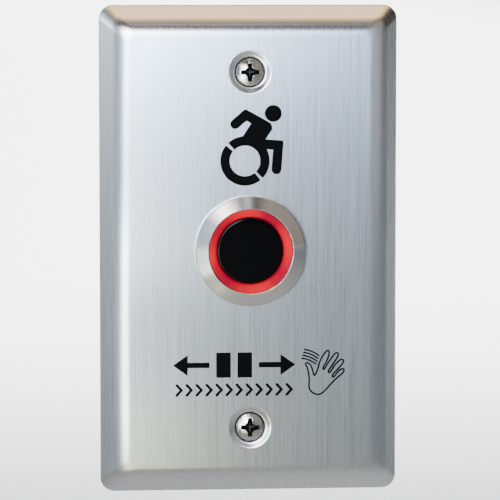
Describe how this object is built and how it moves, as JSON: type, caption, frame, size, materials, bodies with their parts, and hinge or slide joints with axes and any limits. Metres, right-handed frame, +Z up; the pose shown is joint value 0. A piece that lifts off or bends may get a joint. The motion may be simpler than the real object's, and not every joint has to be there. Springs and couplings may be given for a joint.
{
  "type": "touchless wall switch for an automatic door",
  "caption": "Stainless single-gang wall plate with a lit round infrared sensor head, and a relay control board in a carrier behind it.",
  "frame": {"origin": "centre of the plate on the surface of the wall that it is screwed to", "axes": "+Z up, +Y into the wall, +X to the right as seen from the front, so the front faces -Y"},
  "size_m": [0.0698, 0.0374, 0.1142],
  "materials": {
    "brushed_plate": "vertical brushed grain",
    "turned_steel": "turned, fine circular grain",
    "screw_steel": "plated, smooth",
    "nickel_brass": "nickel plated",
    "tinned_metal": "tinned",
    "gasket_foam": "closed-cell foam",
    "seal_rubber": "moulded rubber",
    "black_plastic": "moulded, fine texture",
    "window_plastic": "polished, opaque to visible light",
    "lit_ring": "translucent, lit from behind",
    "led_package": "moulded white package",
    "clear_lens": "cast epoxy, pale blue",
    "dark_lens": "cast epoxy, dark",
    "circuit_board": "green solder mask on glass laminate",
    "cable_jacket": "extruded PVC",
    "white_nylon": "moulded nylon",
    "terminal_plastic": "moulded polyamide",
    "trimmer_plastic": "moulded",
    "switch_plastic": "moulded",
    "relay_plastic": "moulded, satin",
    "copper_winding": "enamelled copper wire",
    "chip_epoxy": "moulded epoxy",
    "capacitor_sleeve": "shrunk sleeve"
  },
  "bodies": {
    "root": {"face_plate": "brushed_plate", "wall_gasket": "gasket_foam", "plate_screw_top": "screw_steel", "plate_screw_bottom": "screw_steel", "sensor_barrel": "turned_steel", "flange_seal": "seal_rubber", "light_ring": "lit_ring", "window_seal": "seal_rubber", "ir_window": "window_plastic", "optical_baffle": "gasket_foam", "sensor_board": "circuit_board", "ir_emitter": "clear_lens", "ir_receiver": "dark_lens", "ring_led_1": "led_package", "ring_led_2": "led_package", "ring_led_3": "led_package", "ring_led_4": "led_package", "barrel_rear_plug": "black_plastic", "cable_grommet": "seal_rubber", "sensor_cable": "cable_jacket", "lock_washer": "screw_steel", "lock_nut": "nickel_brass", "board_carrier": "black_plastic", "control_board": "circuit_board", "board_screw_1": "screw_steel", "board_screw_2": "screw_steel", "board_screw_3": "screw_steel", "board_screw_4": "screw_steel", "sensor_header": "white_nylon", "sensor_plug": "white_nylon", "terminal_block": "terminal_plastic", "range_trimmer_body": "trimmer_plastic", "delay_trimmer_body": "trimmer_plastic", "option_switch_body": "switch_plastic", "relay_case": "relay_plastic", "relay_base": "black_plastic", "relay_yoke": "screw_steel", "relay_coil": "copper_winding", "relay_open_contact": "tinned_metal", "relay_closed_contact": "tinned_metal", "microcontroller": "chip_epoxy", "filter_capacitor": "capacitor_sleeve", "bridge_rectifier": "chip_epoxy"},
    "terminal_screw_1": {"terminal_screw_1": "screw_steel"},
    "terminal_screw_2": {"terminal_screw_2": "screw_steel"},
    "terminal_screw_3": {"terminal_screw_3": "screw_steel"},
    "terminal_screw_4": {"terminal_screw_4": "screw_steel"},
    "terminal_screw_5": {"terminal_screw_5": "screw_steel"},
    "terminal_clamp_1": {"terminal_clamp_1": "tinned_metal"},
    "terminal_clamp_2": {"terminal_clamp_2": "tinned_metal"},
    "terminal_clamp_3": {"terminal_clamp_3": "tinned_metal"},
    "terminal_clamp_4": {"terminal_clamp_4": "tinned_metal"},
    "terminal_clamp_5": {"terminal_clamp_5": "tinned_metal"},
    "range_rotor": {"range_trimmer_rotor": "white_nylon"},
    "delay_rotor": {"delay_trimmer_rotor": "white_nylon"},
    "option_slider_1": {"option_slider_1": "white_nylon"},
    "option_slider_2": {"option_slider_2": "white_nylon"},
    "option_slider_3": {"option_slider_3": "white_nylon"},
    "relay_armature": {"relay_armature": "screw_steel", "relay_moving_contact": "tinned_metal"}
  },
  "joints": [
    {"name": "clamp_1_rise", "type": "slide", "parent": "root", "child": "terminal_clamp_1", "axis": [0, 1, 0], "range_m": [0, 0.0014]},
    {"name": "clamp_2_rise", "type": "slide", "parent": "root", "child": "terminal_clamp_2", "axis": [0, 1, 0], "range_m": [0, 0.0014]},
    {"name": "clamp_3_rise", "type": "slide", "parent": "root", "child": "terminal_clamp_3", "axis": [0, 1, 0], "range_m": [0, 0.0014]},
    {"name": "clamp_4_rise", "type": "slide", "parent": "root", "child": "terminal_clamp_4", "axis": [0, 1, 0], "range_m": [0, 0.0014]},
    {"name": "clamp_5_rise", "type": "slide", "parent": "root", "child": "terminal_clamp_5", "axis": [0, 1, 0], "range_m": [0, 0.0014]},
    {"name": "screw_1_turn", "type": "hinge", "parent": "root", "child": "terminal_screw_1", "pos_m": [-0.01016, 0.021, -0.027], "axis": [0, -1, 0], "range_deg": [0, 1120]},
    {"name": "screw_2_turn", "type": "hinge", "parent": "root", "child": "terminal_screw_2", "pos_m": [-0.00508, 0.021, -0.027], "axis": [0, -1, 0], "range_deg": [0, 1120]},
    {"name": "screw_3_turn", "type": "hinge", "parent": "root", "child": "terminal_screw_3", "pos_m": [0, 0.021, -0.027], "axis": [0, -1, 0], "range_deg": [0, 1120]},
    {"name": "screw_4_turn", "type": "hinge", "parent": "root", "child": "terminal_screw_4", "pos_m": [0.00508, 0.021, -0.027], "axis": [0, -1, 0], "range_deg": [0, 1120]},
    {"name": "screw_5_turn", "type": "hinge", "parent": "root", "child": "terminal_screw_5", "pos_m": [0.01016, 0.021, -0.027], "axis": [0, -1, 0], "range_deg": [0, 1120]},
    {"name": "range_turn", "type": "hinge", "parent": "root", "child": "range_rotor", "pos_m": [-0.0155, 0.017, 0.0205], "axis": [0, -1, 0], "range_deg": [-135, 135]},
    {"name": "delay_turn", "type": "hinge", "parent": "root", "child": "delay_rotor", "pos_m": [-0.006, 0.017, 0.0205], "axis": [0, -1, 0], "range_deg": [-135, 135]},
    {"name": "option_1_slide", "type": "slide", "parent": "root", "child": "option_slider_1", "axis": [1, 0, 0], "range_m": [0, 0.002]},
    {"name": "option_2_slide", "type": "slide", "parent": "root", "child": "option_slider_2", "axis": [1, 0, 0], "range_m": [0, 0.002]},
    {"name": "option_3_slide", "type": "slide", "parent": "root", "child": "option_slider_3", "axis": [1, 0, 0], "range_m": [0, 0.002]},
    {"name": "armature_swing", "type": "hinge", "parent": "root", "child": "relay_armature", "pos_m": [0.01175, 0.0243, 0.0047], "axis": [1, 0, 0], "range_deg": [0, 4.5], "stiffness_Nm_per_rad": 0.002, "springref_deg": -17.19}
  ],
  "couplings": [
    {"joint": "screw_1_turn", "follows": "clamp_1_rise", "rad_per_m": 13963},
    {"joint": "screw_2_turn", "follows": "clamp_2_rise", "rad_per_m": 13963},
    {"joint": "screw_3_turn", "follows": "clamp_3_rise", "rad_per_m": 13963},
    {"joint": "screw_4_turn", "follows": "clamp_4_rise", "rad_per_m": 13963},
    {"joint": "screw_5_turn", "follows": "clamp_5_rise", "rad_per_m": 13963}
  ]
}
